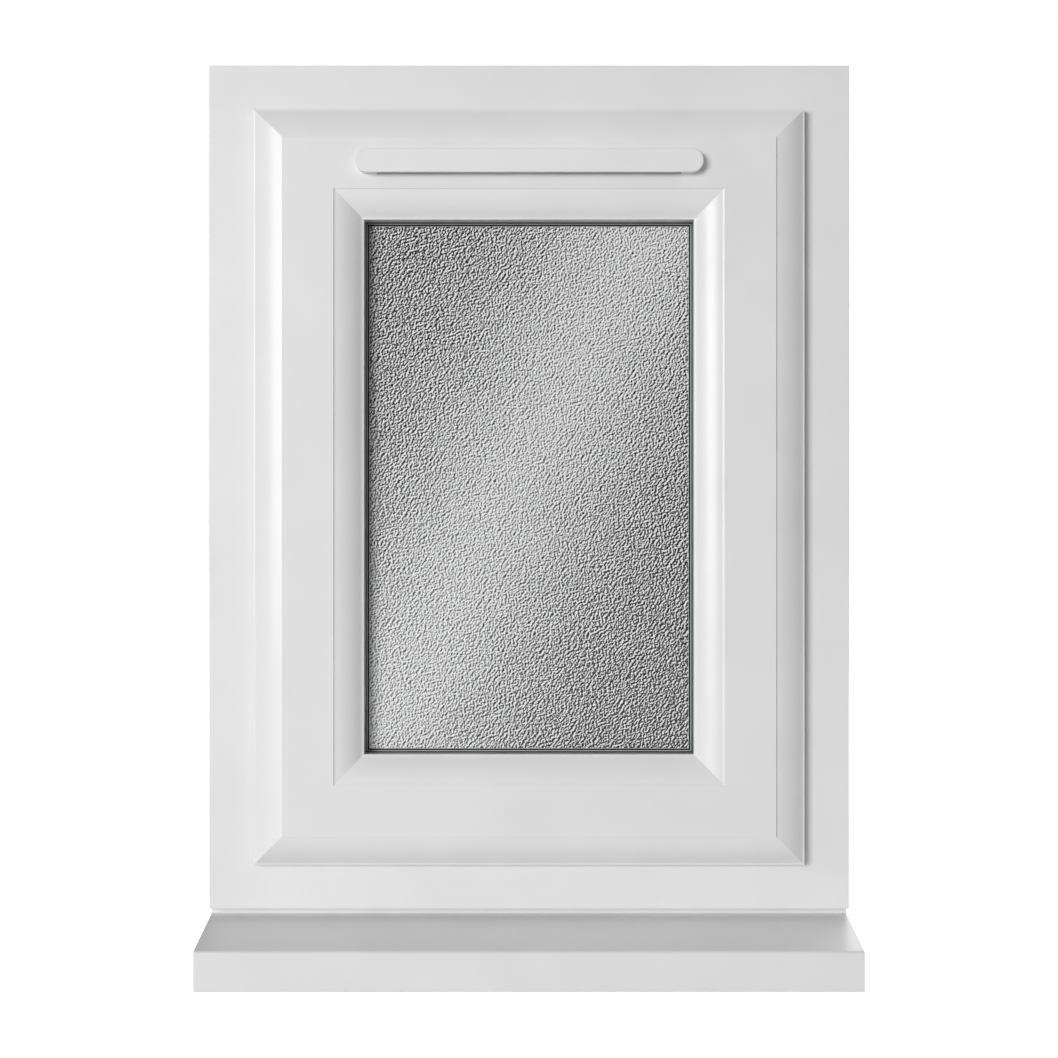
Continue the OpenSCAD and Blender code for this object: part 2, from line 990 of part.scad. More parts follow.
// Plastic blocks that carry and centre the glass: two under it, two over it and two at each side
module glazing_packers() {
    half_w = frame_w / 2 - rebate_u;
    half_h = frame_h / 2 - rebate_u;
    color(grey_plastic)
        translate([0, 0, z_mid])
            for (a = [-1, 1], b = [-1, 1]) {
                translate([a * (half_w - 60), (glass_front + glass_back) / 2, b * (half_h - 2.5)])
                    cube([70, unit_t, 4.9], center = true);
                translate([a * (half_w - 2.5), (glass_front + glass_back) / 2, b * (half_h - 90)])
                    cube([4.9, unit_t, 70], center = true);
            }
}

// Trickle vent

module vent_canopy() {
    inner_h = vent_h - 2 * vent_wall;
    front = -sash_proud - vent_out;
    color(white_plastic)
        translate([0, 0, vent_z])
            difference() {
                oblong(vent_l, vent_h, front, -sash_proud);
                oblong(vent_l - 2 * vent_wall, inner_h, front + vent_wall, 1 - sash_proud);
                block([-vent_slot[1], front + canopy_lip, -vent_h], [vent_slot[1], 1 - sash_proud, 0]);
            }
}

module vent_housing() {
    front = sash_back + vent_in;
    color(white_plastic)
        difference() {
            translate([0, 0, vent_z])
                oblong(vent_l, vent_h, sash_back, front);
            block([-flap_half - 0.4, sash_back - 1, vent_z - 8.4],
                  [flap_half + 0.4, front + 1, vent_z + 7.6]);
            translate([-flap_half - 4.5, flap_rod_y, flap_rod_z])
                rotate([0, 90, 0])
                    cylinder(h = 2 * flap_half + 9, r = flap_rod_r + 0.08, $fn = 32);
            at_vent_screws()
                screw_hole(vent_screw);
            for (s = [-1, 1])
                translate([s * vent_screw_x, 0, vent_z])
                    y_rod(3.2, sash_back + vent_in - 2, front + 1);
        }
}

module vent_flap() {
    color(white_plastic) {
        block([-flap_half, flap_rod_y - 1, flap_rod_z], [flap_half, flap_rod_y + 1, flap_top]);
        block([-30, flap_rod_y, flap_top - 2.4], [30, flap_rod_y + 4, flap_top - 0.9]);
        translate([-flap_half - 4, flap_rod_y, flap_rod_z])
            rotate([0, 90, 0])
                cylinder(h = 2 * flap_half + 8, r = flap_rod_r, $fn = 32);
    }
}

module vent_screws() {
    color(zinc_steel)
        at_vent_screws()
            cross_screw(vent_screw);
}

// Lock

// Half angle of a pinion tooth at radius r, by the involute of the base circle
base_r = pinion_r * cos(pressure);
function roll(a) = tan(a) * 180 / PI - a;
function tooth_half(r) = 90 / pinion_teeth - backlash / pinion_r * 180 / PI + roll(pressure)
    - roll(acos(min(1, base_r / r)));
flank_steps = 5;
flank_r = [for (i = [0:flank_steps]) base_r + (pinion_r + addendum - base_r) * i / flank_steps];

module pinion_outline() {
    root = pinion_r - dedendum;
    polygon([for (t = [0:pinion_teeth - 1]) let (centre = t * 360 / pinion_teeth)
        each concat([root * [cos(centre - tooth_half(base_r)), sin(centre - tooth_half(base_r))]],
                    [for (r = flank_r) r * [cos(centre - tooth_half(r)), sin(centre - tooth_half(r))]],
                    [for (i = [flank_steps:-1:0]) let (r = flank_r[i])
                        r * [cos(centre + tooth_half(r)), sin(centre + tooth_half(r))]],
                    [root * [cos(centre + tooth_half(base_r)), sin(centre + tooth_half(base_r))]])]);
}

module lock_pinion() {
    color(zinc_steel)
        translate([handle_x, lock_y + 5, z_mid])
            rotate([90, 0, 0])
                difference() {
                    union() {
                        linear_extrude(10)
                            pinion_outline();
                        translate([0, 0, -2.3])
                            cylinder(h = 14.6, r = 7, $fn = 64);
                    }
                    translate([0, 0, 5])
                        cube([spindle_w + 0.1, spindle_w + 0.1, 20], center = true);
                }
}

// Teeth that face the pinion; a space is level with the spindle with the window unlocked
module rack_outline() {
    pitch = PI * tooth_module;
    half = pitch / 4 - backlash;
    x = handle_x + pinion_r;
    block_x = x + dedendum;
    for (i = [-3:1])
        polygon([[x - addendum, (i + 0.5) * pitch - half + addendum * tan(pressure)],
                 [x - addendum, (i + 0.5) * pitch + half - addendum * tan(pressure)],
                 [block_x + 0.5, (i + 0.5) * pitch + half + (dedendum + 0.5) * tan(pressure)],
                 [block_x + 0.5, (i + 0.5) * pitch - half - (dedendum + 0.5) * tan(pressure)]]);
    patch([block_x, -2.5 * pitch - 5], [bar_back_x + 0.5, 1.5 * pitch + 5]);
}

// The faceplate's middle screws pass through slots in the bar
module lock_bar() {
    slot_half = 2.6;
    color(zinc_steel)
        translate([0, 0, z_mid]) {
            difference() {
                block([bar_back_x, lock_y - 5, -bar_half], [bar_back_x + bar_t, lock_y + 5, bar_half]);
                for (z = inner_lock_screws)
                    block([bar_back_x - 1, lock_y - slot_half, z - lock_travel - slot_half],
                          [bar_back_x + bar_t + 1, lock_y + slot_half, z + slot_half]);
            }
            translate([0, lock_y + 4.8, 0])
                rotate([90, 0, 0])
                    linear_extrude(9.6)
                        rack_outline();
        }
}

module lock_cams() {
    color(bare_steel)
        for (z = cam_z)
            translate([bar_back_x + bar_t, lock_y, z])
                rotate([0, 90, 0]) {
                    cylinder(h = 5, r = cam_pin_r, $fn = 48);
                    translate([0, 0, plate_t + 1.4])
                        cylinder(h = cam_tip_x - bar_back_x - bar_t - plate_t - 1.4, r = cam_r, $fn = 48);
                }
}

module lock_faceplate() {
    x = [sash_edge_x - plate_t, sash_edge_x];
    color(bare_steel)
        difference() {
            block([x[0], groove_y + 0.2, z_mid - lock_half],
                  [x[1], groove_y + groove_w - 0.2, z_mid + lock_half]);
            for (z = cam_z) {
                block([x[0] - 1, lock_y - cam_pin_r - 0.3, z],
                      [x[1] + 1, lock_y + cam_pin_r + 0.3, z + lock_travel]);
                for (end = [0, lock_travel])
                    translate([x[0] - 1, lock_y, z + end])
                        rotate([0, 90, 0])
                            cylinder(h = plate_t + 2, r = cam_pin_r + 0.3, $fn = 48);
            }
            at_lock_screws()
                screw_hole(lock_screw);
        }
}

module lock_case() {
    inside_x = [case_far_x + case_wall, bar_back_x + 5];
    color(zinc_steel)
        difference() {
            block([case_far_x, case_y[0], z_mid - case_half],
                  [bar_back_x - 0.5, case_y[1], z_mid + case_half]);
            block([inside_x[0], case_y[0] + case_wall, z_mid - case_half + case_wall],
                  [inside_x[1], case_y[1] - case_wall, z_mid + case_half - case_wall]);
            translate([handle_x, 0, z_mid])
                y_rod(7.08, case_y[0] - 1, case_y[1] + 1);
            at_handle_screws()
                screw_hole(handle_screw);
        }
}

module lock_screws() {
    color(zinc_steel)
        at_lock_screws()
            cross_screw(lock_screw);
}

// Keep: a plate on the lock jamb with a hook that the cam slides behind
module keep(z) {
    x = frame_w / 2 - frame_face;
    hook_y = lock_y - cam_r - 0.6;
    from = cam_r + 2;
    color(bare_steel)
        difference() {
            union() {
                block([x - keep_t, keep_y[0], z + keep_reach[0]], [x, keep_y[1], z + keep_reach[1]]);
                translate([x - keep_t - keep_hook_h, 0, z])
                    rotate([0, 90, 0])
                        linear_extrude(keep_hook_h + 0.5)
                            polygon([[-from, keep_y[0]], [-from, hook_y - 2], [-from - 4, hook_y],
                                     [-keep_reach[1] + 12, hook_y], [-keep_reach[1] + 12, keep_y[0]]]);
            }
            at_keep_screws()
                screw_hole(keep_screw);
        }
}

module lock_keeps() {
    for (z = cam_z)
        keep(z);
}

module keep_screws() {
    color(zinc_steel)
        at_keep_screws()
            cross_screw(keep_screw);
}

// Handle

module handle_base() {
    color(zinc_steel)
        difference() {
            translate([handle_x, 0, z_mid])
                oblong(base_w - 4, base_h - 4, sash_back, sash_back + base_t);
            translate([handle_x, 0, z_mid])
                y_rod(7.6, sash_back - 1, sash_back + base_t + 1);
            at_handle_screws()
                screw_hole(handle_screw);
        }
}

module handle_cover() {
    color(white_plastic)
        translate([handle_x, 0, z_mid])
            difference() {
                oblong(base_w, base_h, sash_back, sash_back + cover_t);
                oblong(base_w - 3.6, base_h - 3.6, sash_back - 1, sash_back + cover_t - 1.8);
                y_rod(8.5, sash_back, sash_back + cover_t + 1);
            }
}

module handle_screws() {
    color(zinc_steel)
        at_handle_screws()
            cross_screw(handle_screw);
}

module handle_spindle() {
    half = spindle_w / 2;
    color(zinc_steel)
        translate([handle_x, 0, z_mid])
            block([-half, lock_y - 7, -half], [half, hub_y[0] + 12, half]);
}

// The grip lies level, towards the hinges, with the window unlocked
module handle_lever() {
    color(white_plastic)
        translate([handle_x, 0, z_mid])
            difference() {
                union() {
                    y_rod(8.3, sash_back + cover_t - 1.5, hub_y[0] + 1);
                    y_rod(hub_r, hub_y[0], hub_y[1]);
                    hull() {
                        translate([-6, 0, 0])
                            y_rod(9, hub_y[1] - 11, hub_y[1] - 0.5);
                        translate([-32, 0, 0])
                            y_rod(8, grip_y - 8, grip_y + 2);
                    }
                    hull()
                        for (x = [-32, -grip_l + 9])
                            translate([x, 0, 0])
                                y_rod(8, grip_y - 8, grip_y + 2);
                }
                y_rod(button_r + button_gap, button_y[0] - button_travel - 1, hub_y[1] + 5);
                translate([0, hub_y[0], 0])
                    cube([spindle_w + 0.1, 26, spindle_w + 0.1], center = true);
            }
}

module lock_button() {
    color(bare_steel)
        translate([handle_x, 0, z_mid])
            difference() {
                y_rod(button_r, button_y[0], button_y[1]);
                block([-0.5, button_y[1] - 1.5, -2.6], [0.5, button_y[1] + 1, 2.6]);
            }
}

frame_head();
frame_bottom_rail();
frame_hinge_jamb();
frame_lock_jamb();
frame_steels();
frame_seal();
sill();
sill_cap_left();
sill_cap_right();
sill_screws();
upper_stay_track();
lower_stay_track();
track_rivets();
track_screws();
lock_keeps();
keep_screws();
sash_top_rail();
sash_bottom_rail();
sash_hinge_stile();
sash_lock_stile();
sash_steels();
sash_seal();
outer_pane();
inner_pane();
spacer_frame();
edge_sealant();
outer_gasket();
bead_gasket();
bead_top();
bead_bottom();
bead_hinge_side();
bead_lock_side();
glazing_packers();
vent_canopy();
vent_housing();
vent_screws();
lock_faceplate();
lock_case();
lock_screws();
handle_base();
handle_cover();
handle_screws();
upper_sash_bar();
lower_sash_bar();
bar_rivets();
bar_screws();
vent_flap();
handle_lever();
handle_spindle();
lock_pinion();
lock_button();
lock_bar();
lock_cams();
upper_short_arm();
lower_short_arm();
upper_long_arm();
lower_long_arm();
upper_shoe();
lower_shoe();
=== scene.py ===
"""Finish of a white plastic casement window: bars, stippled glass, seals, hardware and a studio."""

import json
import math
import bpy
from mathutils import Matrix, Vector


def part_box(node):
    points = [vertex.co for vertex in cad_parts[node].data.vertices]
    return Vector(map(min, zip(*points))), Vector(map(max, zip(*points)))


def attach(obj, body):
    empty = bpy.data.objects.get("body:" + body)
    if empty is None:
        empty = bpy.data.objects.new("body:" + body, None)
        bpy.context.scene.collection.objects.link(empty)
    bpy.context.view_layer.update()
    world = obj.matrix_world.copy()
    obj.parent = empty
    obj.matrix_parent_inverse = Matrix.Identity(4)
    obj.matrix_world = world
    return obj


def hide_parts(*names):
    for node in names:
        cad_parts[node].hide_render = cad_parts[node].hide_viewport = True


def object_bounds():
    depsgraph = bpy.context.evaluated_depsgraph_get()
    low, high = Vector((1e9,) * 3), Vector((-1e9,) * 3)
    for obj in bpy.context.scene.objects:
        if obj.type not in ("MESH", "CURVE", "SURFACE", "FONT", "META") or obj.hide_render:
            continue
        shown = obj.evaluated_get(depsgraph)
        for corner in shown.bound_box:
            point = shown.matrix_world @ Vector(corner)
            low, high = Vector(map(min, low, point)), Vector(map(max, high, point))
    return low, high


bl_info = {
    "name": "Casement window",
    "version": (1, 0, 0),
    "blender": (4, 5, 0),
    "location": "View3D > Sidebar > Window",
    "description": "Finishes a casement window built on its packed frame",
    "category": "Object",
}

import bmesh
import bpy
import numpy as np
from bpy.props import FloatProperty, FloatVectorProperty, IntProperty, PointerProperty
from mathutils import Vector

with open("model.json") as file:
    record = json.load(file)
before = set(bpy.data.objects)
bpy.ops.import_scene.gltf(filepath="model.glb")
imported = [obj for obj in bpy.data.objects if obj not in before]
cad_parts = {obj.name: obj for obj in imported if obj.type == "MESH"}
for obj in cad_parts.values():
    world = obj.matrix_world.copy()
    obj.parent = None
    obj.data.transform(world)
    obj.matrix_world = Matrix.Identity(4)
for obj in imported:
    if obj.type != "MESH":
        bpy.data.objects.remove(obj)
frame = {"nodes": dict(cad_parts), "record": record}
CAD_LOW, CAD_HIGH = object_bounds()
BODIES = {
    node: body
    for body, nodes in frame["record"]["behaviour"]["bodies"].items()
    for node in nodes
}

# The outer frame's outside face, bottom and top, from which the camera and the lights are placed
JAMB_LOW, JAMB_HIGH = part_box("frame_hinge_jamb")
FRAME_FACE = JAMB_LOW.y
FRAME_BOTTOM = JAMB_LOW.z
FRAME_TOP = JAMB_HIGH.z

FRAME_BARS = ("frame_head", "frame_bottom_rail", "frame_hinge_jamb", "frame_lock_jamb")
SASH_BARS = ("sash_top_rail", "sash_bottom_rail", "sash_hinge_stile", "sash_lock_stile")
BEADS = ("bead_top", "bead_bottom", "bead_hinge_side", "bead_lock_side")

# Across the pale band of the glass, a painted reflection that runs down from the right-hand top corner
SHEEN_BAND_NORMAL = Vector((0.887, 0, -0.462))
SHEEN_BAND_WANDER = 0.02  # how far the band's edge strays to either side
# Greys of the glass from black to white, in steps that are even to the eye
GREY_STEPS = 6
GREYS = [(step / GREY_STEPS, [(step / GREY_STEPS) ** 2.2] * 3) for step in range(GREY_STEPS + 1)]
GLASS_IOR = 1.5
OBSCURE_CLEAR = 0.12  # how much of the light the patterned pane lets through unscattered
SMOOTH_HEIGHT = 0.6  # of the glass round the stipple, where the highest bead is 1
SMOOTH_ROWS = 4  # rows of points round the stipple: the three of sheet_lines and the stipple's edge

WELD_GAP = 2e-6  # points of a CAD mesh that are nearer than this are one
FLAT_ANGLE = math.radians(0.5)  # faces that meet at less are one
EDGE_ANGLE = math.radians(25)  # edges that turn more are rounded

FLOOR_SIZE = 30
FLOOR_GREY = (0.86, 0.86, 0.86)
# Lamps, placed from the middle of the window
KEY_PLACE = Vector((-5.3, -8.6, 0.6))
KEY_SIZE = (4.8, 5.8)
ROOM_PLACE = Vector((1.5, 2.4, 1.3))
ROOM_SIZE = (2.4, 2.0)
ROOM_SHARE = 0.04  # of the key light's power


# Sizes and colours that a user may change


class PlasticLook(bpy.types.PropertyGroup):
    """Finish of the white plastic bars, the sill and the vent"""

    colour: FloatVectorProperty(
        name="Colour", description="Colour of the plastic", subtype="COLOR", size=3,
        default=(0.8, 0.8, 0.8), min=0, max=1,
    )
    roughness: FloatProperty(
        name="Roughness", description="How matte the plastic is", default=0.38, min=0, max=1,
    )
    edge: FloatProperty(
        name="Edge rounding", description="Radius of the moulded covers' edges", unit="LENGTH",
        default=0.0011, min=0.0001, max=0.002,
    )


class GlassLook(bpy.types.PropertyGroup):
    """Stipple of the patterned pane"""

    pitch: FloatProperty(
        name="Mesh pitch", description="Distance between the points of the rolled face",
        unit="LENGTH",
        default=0.001, min=0.0005, max=0.005,
    )
    grain: FloatProperty(
        name="Grain", description="Width of one bead of the rolled relief", unit="LENGTH",
        default=0.0009, min=0.0005, max=0.01,
    )
    # The flecks are painted shading: each bead light on one side and dark on the other, as if lit from
    # one side
    fleck: FloatProperty(
        name="Fleck", description="Distance from fleck to fleck", unit="LENGTH",
        default=0.0021, min=0.0005, max=0.01,
    )
    stretch: FloatProperty(
        name="Stretch", description="How long the flecks are for their width",
        default=1.1, min=1, max=5,
    )
    lean: FloatProperty(
        name="Lean", description="Slope of the flecks, up to the right", unit="ROTATION",
        default=math.radians(57), min=0, max=math.pi,
    )
    # The pale band is a painted reflection and the dim corners are painted shade; these set their tones
    # and how strongly the painted fleck shading shows in each
    sheen_band_tone: FloatProperty(
        name="Band tone", description="Tone of the pale band", default=0.88, min=0, max=1,
    )
    shaded_corner_tone: FloatProperty(
        name="Corner tone", description="Tone of the dim corners", default=0.2, min=0, max=1,
    )
    sheen_band_contrast: FloatProperty(
        name="Band contrast", description="Contrast of the flecks in the band",
        default=3.8, min=0, max=20,
    )
    shaded_corner_contrast: FloatProperty(
        name="Corner contrast", description="Contrast of the flecks in the corners",
        default=11.5, min=0, max=20,
    )
    sheen_band_reach: FloatProperty(
        name="Band reach", description="From the middle of the pale band to the dimmest glass",
        unit="LENGTH", default=0.26, min=0.05, max=1,
    )
    sheen_band_shift: FloatProperty(
        name="Band shift", description="How far the band's middle is from the pane's", unit="LENGTH",
        default=-0.019, min=-0.2, max=0.2,
    )
    margin: FloatProperty(
        name="Margin", description="Width of the smooth glass round the stipple", unit="LENGTH",
        default=0.0038, min=0, max=0.02,
    )
    line_at: FloatProperty(
        name="Line position", description="From the frame's edge to the dark line", unit="LENGTH",
        default=0.0026, min=0, max=0.02,
    )
    line_width: FloatProperty(
        name="Line width", description="Width of the dark line", unit="LENGTH",
        default=0.0014, min=0.0005, max=0.01,
    )
    relief: FloatProperty(
        name="Relief", description="Depth of the stipple", unit="LENGTH",
        default=0.00018, min=0, max=0.001,
    )
    seed: IntProperty(name="Seed", description="Seed of the stipple", default=7, min=0)
    tint: FloatVectorProperty(
        name="Tint", description="Colour of the patterned glass", subtype="COLOR", size=3,
        default=(0.36, 0.38, 0.375), min=0, max=1,
    )


class MetalLook(bpy.types.PropertyGroup):
    """Finish of the hardware"""

    steel: FloatVectorProperty(
        name="Stainless steel", description="Colour of stays and keeps", subtype="COLOR", size=3,
        default=(0.56, 0.565, 0.56), min=0, max=1,
    )
    zinc: FloatVectorProperty(
        name="Zinc plate", description="Colour of the lock and the screws", subtype="COLOR", size=3,
        default=(0.66, 0.66, 0.62), min=0, max=1,
    )


class StageSizes(bpy.types.PropertyGroup):
    """Camera, floor and lights"""

    distance: FloatProperty(
        name="Camera distance", description="From the camera to the frame's outside face",
        unit="LENGTH", default=1.68, min=0.5, max=10,
    )
    height: FloatProperty(
        name="Camera height", description="Height of the camera above the frame's bottom",
        unit="LENGTH", default=0.3681, min=-1, max=3,
    )
    lens: FloatProperty(
        name="Lens", description="Focal length on a 36 mm sensor", default=59.01, min=10, max=300,
    )
    key_power: FloatProperty(name="Key light", description="Power in watts", default=1040, min=0)
    ambient: FloatProperty(
        name="Ambient", description="Brightness of the surroundings", default=0.28, min=0, max=5,
    )


# Node helpers


def new_material(name, colour, roughness, metallic=0.0):
    """A material with its Principled shader set, and the shader itself"""
    material = bpy.data.materials.new(name)
    material.use_nodes = True
    shader = material.node_tree.nodes["Principled BSDF"]
    shader.inputs["Base Color"].default_value = (*colour, 1)
    shader.inputs["Roughness"].default_value = roughness
    shader.inputs["Metallic"].default_value = metallic
    return material, shader


def add_node(material, kind, settings=(), **inputs):
    """A node of that kind, its properties and inputs set; an input may be another node's output"""
    node = material.node_tree.nodes.new(kind)
    for key, value in dict(settings).items():
        setattr(node, key, value)
    for key, value in inputs.items():
        socket = node.inputs[key.replace("_", " ")]
        if isinstance(value, bpy.types.NodeSocket):
            material.node_tree.links.new(value, socket)
        else:
            socket.default_value = value
    return node


def place(material, stretch=(1, 1, 1), turn=(0, 0, 0)):
    """Object coordinates, turned, then drawn out along each turned axis"""
    where = add_node(material, "ShaderNodeTexCoord")
    mapping = add_node(material, "ShaderNodeMapping", {"vector_type": "TEXTURE"},
                       Vector=where.outputs["Object"], Rotation=turn, Scale=stretch)
    return mapping.outputs["Vector"]


def noise(material, vector, size, detail=2.0):
    """Noise whose features are about size metres across"""
    texture = add_node(material, "ShaderNodeTexNoise", Vector=vector, Scale=1 / size, Detail=detail)
    return texture.outputs["Fac"]


def grain(material, size, detail=2.0, stretch=(1, 1, 1)):
    """Noise in object space, drawn out along X, Y or Z"""
    return noise(material, place(material, stretch), size, detail)


def arithmetic(material, operation, first, second):
    """Sum, product and so on of two values or sockets"""
    node = add_node(material, "ShaderNodeMath", {"operation": operation})
    for socket, value in zip(node.inputs, (first, second)):
        if isinstance(value, bpy.types.NodeSocket):
            link(material, value, socket)
        else:
            socket.default_value = value
    return node.outputs[0]


def shifted(material, vector, step):
    """A place moved by a fixed step"""
    node = add_node(material, "ShaderNodeVectorMath", {"operation": "ADD"})
    link(material, vector, node.inputs[0])
    node.inputs[1].default_value = step
    return node.outputs[0]


def ramp(material, value, stops):
    """Colours for a value, from (position, colour) stops"""
    node = add_node(material, "ShaderNodeValToRGB", Fac=value)
    elements = node.color_ramp.elements
    while len(elements) < len(stops):
        elements.new(0.5)
    for element, (position, colour) in zip(elements, stops):
        element.position = position
        element.color = (*colour, 1)
    return node.outputs["Color"]


def add_colour(material, shader, value, stops):
    """Colours the shader by a value, from (position, colour) stops"""
    link(material, ramp(material, value, stops), shader.inputs["Base Color"])


def shades(colour, low, high):
    """Two stops of a ramp, darker and lighter than a colour"""
    return [(0.3, [c * low for c in colour]), (0.7, [min(1, c * high) for c in colour])]


def add_bump(material, shader, value, depth):
    """Relief of depth metres under the shader"""
    bump = add_node(material, "ShaderNodeBump", Height=value, Distance=depth, Strength=1.0)
    material.node_tree.links.new(bump.outputs["Normal"], shader.inputs["Normal"])


def link(material, value, socket):
    """Joins one node's output to another's input"""
    material.node_tree.links.new(value, socket)


def spread(material, value, low, high):
    """A value from 0 to 1 as one from low to high"""
    node = add_node(material, "ShaderNodeMapRange", Value=value, To_Min=low, To_Max=high)
    return node.outputs["Result"]


# Materials


def extruded_plastic(look):
    """White window plastic: faint colour drift under a fine, slightly uneven skin"""
    material, shader = new_material("white_plastic", look.colour, look.roughness)
    drift = grain(material, size=0.09, detail=3)
    add_colour(material, shader, drift, shades(look.colour, low=0.975, high=1.02))
    link(material, spread(material, grain(material, size=0.02, detail=4), look.roughness - 0.05,
                          look.roughness + 0.07), shader.inputs["Roughness"])
    shader.inputs["Coat Weight"].default_value = 0.12
    shader.inputs["Coat Roughness"].default_value = 0.2
    add_bump(material, shader, grain(material, size=0.0012, detail=3), depth=0.00002)
    return material


def moulded_plastic(look):
    """Injection-moulded covers: a touch whiter and with a finer, satin skin"""
    colour = [min(1, c * 1.02) for c in look.colour]
    material, shader = new_material("moulded_plastic", colour, look.roughness + 0.06)
    add_colour(material, shader, grain(material, size=0.05), shades(colour, low=0.98, high=1.015))
    add_bump(material, shader, grain(material, size=0.0006, detail=2), depth=0.00003)
    return material


def rubber(name):
    """Black seal rubber with a dusty bloom"""
    colour = (0.012, 0.012, 0.012)
    material, shader = new_material(name, colour, 0.55)
    bloom = grain(material, size=0.004, detail=5)
    add_colour(material, shader, bloom, [(0.35, colour), (0.8, [c * 3 + 0.01 for c in colour])])
    add_bump(material, shader, grain(material, size=0.0005), depth=0.00003)
    return material


def stippled_glass(look, middle):
    """Obscure glass: a close stipple of dark and bright flecks of painted shading and highlight, calmer
    along a pale diagonal band of painted reflection, with painted shade in the corners
    """
    material, shader = new_material("stippled_glass", look.tint, 0.2)
    grains = place(material, (look.stretch, 1, 1), (0, -look.lean, 0))
    # Painted emboss: a noise less the same noise shifted gives each bead a painted highlight on one side
    # and painted shade on the other
    up = noise(material, shifted(material, grains, (0, 0, look.fleck / 4)), look.fleck)
    down = noise(material, shifted(material, grains, (0, 0, -look.fleck / 4)), look.fleck)
    fleck = arithmetic(material, "SUBTRACT", up, down)

    # Painted reflection: a pale diagonal band across the pane, with painted shade growing towards the
    # corners
    where = add_node(material, "ShaderNodeTexCoord")
    across = add_node(material, "ShaderNodeVectorMath", {"operation": "DOT_PRODUCT"})
    link(material, where.outputs["Object"], across.inputs[0])
    across.inputs[1].default_value = SHEEN_BAND_NORMAL
    offset = SHEEN_BAND_NORMAL.dot(middle + Vector((look.sheen_band_shift, 0, 0)))
    distance = arithmetic(material, "ABSOLUTE", arithmetic(
        material, "SUBTRACT", across.outputs["Value"], offset), 0)
    wander = spread(material, grain(material, size=0.05), -SHEEN_BAND_WANDER, SHEEN_BAND_WANDER)
    sheen_distance = arithmetic(material, "ADD", distance, wander)
    dim = add_node(material, "ShaderNodeMapRange", {"interpolation_type": "SMOOTHSTEP"},
                   Value=sheen_distance, From_Max=look.sheen_band_reach)
    tone = spread(material, dim.outputs["Result"], look.sheen_band_tone, look.shaded_corner_tone)
    depth = spread(material, dim.outputs["Result"], look.sheen_band_contrast, look.shaded_corner_contrast)
    # The colour is the painted reflection's tone plus the painted fleck shading
    value = arithmetic(material, "ADD", tone, arithmetic(material, "MULTIPLY", depth, fleck))
    add_colour(material, shader, value, GREYS)
    shader.inputs["Transmission Weight"].default_value = OBSCURE_CLEAR
    shader.inputs["IOR"].default_value = GLASS_IOR
    add_bump(material, shader, fleck, depth=0.0003)
    return material


def margin_glass():
    """The smooth edge of the pane, where its green shows"""
    green = (0.5, 0.57, 0.545)
    material, shader = new_material("margin_glass", green, 0.12)
    add_colour(material, shader, grain(material, size=0.02), shades(green, low=0.92, high=1.08))
    shader.inputs["Transmission Weight"].default_value = OBSCURE_CLEAR
    shader.inputs["IOR"].default_value = GLASS_IOR
    return material


def edge_black():
    """The black border fired on the glass round the stipple"""
    material, shader = new_material("edge_black", (0.004, 0.005, 0.005), 0.7)
    add_colour(material, shader, grain(material, size=0.003), [(0.4, (0.003,) * 3), (0.7, (0.01,) * 3)])
    shader.inputs["Specular IOR Level"].default_value = 0.1
    return material


def clear_glass():
    """Float glass with the faint ripple of its face"""
    colour = (0.86, 0.93, 0.91)
    material, shader = new_material("clear_glass", colour, 0.02)
    shader.inputs["Transmission Weight"].default_value = 1.0
    shader.inputs["IOR"].default_value = GLASS_IOR
    ripple = grain(material, size=0.12)
    add_colour(material, shader, ripple, shades(colour, low=0.98, high=1.02))
    add_bump(material, shader, ripple, depth=0.0002)
    return material


def rolled_steel(name, colour):
    """Bare strip metal with rolling lines along it"""
    roughness = 0.32
    material, shader = new_material(name, colour, roughness, metallic=1.0)
    lines = grain(material, size=0.0006, detail=4, stretch=(30, 1, 30))
    add_colour(material, shader, lines, shades(colour, low=0.82, high=1.12))
    link(material, spread(material, lines, roughness - 0.08, roughness + 0.12),
         shader.inputs["Roughness"])
    add_bump(material, shader, lines, depth=0.00001)
    return material


def zinc_plate(colour):
    """Bright zinc plate with its faint yellow and blue bloom"""
    material, shader = new_material("zinc_plate", colour, 0.34, metallic=1.0)
    bloom = grain(material, size=0.012, detail=3)
    warm = (colour[0], colour[1] * 0.97, colour[2] * 0.86)
    cool = (colour[0] * 0.9, colour[1] * 0.96, min(1, colour[2] * 1.1))
    add_colour(material, shader, bloom, [(0.3, warm), (0.5, colour), (0.7, cool)])
    add_bump(material, shader, grain(material, size=0.0004), depth=0.00001)
    return material


def galvanised(colour):
    """Hot-dip zinc with its frost of crystals"""
    material, shader = new_material("galvanised", colour, 0.45, metallic=1.0)
    cells = add_node(material, "ShaderNodeTexVoronoi", Vector=place(material), Scale=130.0)
    add_colour(material, shader, cells.outputs["Color"], shades(colour, low=0.72, high=1.15))
    add_bump(material, shader, cells.outputs["Distance"], depth=0.00003)
    return material


def spacer_metal():
    """Mill aluminium, pricked with the breathing holes of the drying agent"""
    colour = (0.7, 0.71, 0.72)
    material, shader = new_material("spacer_metal", colour, 0.35, metallic=1.0)
    holes = add_node(material, "ShaderNodeTexVoronoi", Vector=place(material), Scale=400.0)
    add_colour(material, shader, holes.outputs["Distance"], [(0.08, (0.12,) * 3), (0.16, colour)])
    return material


def plain_plastic(name, colour):
    """Nylon or hard plastic out of a mould, slightly mottled"""
    material, shader = new_material(name, colour, 0.5)
    add_colour(material, shader, grain(material, size=0.006, detail=4),
               shades(colour, low=0.85, high=1.15))
    add_bump(material, shader, grain(material, size=0.0008), depth=0.00004)
    return material


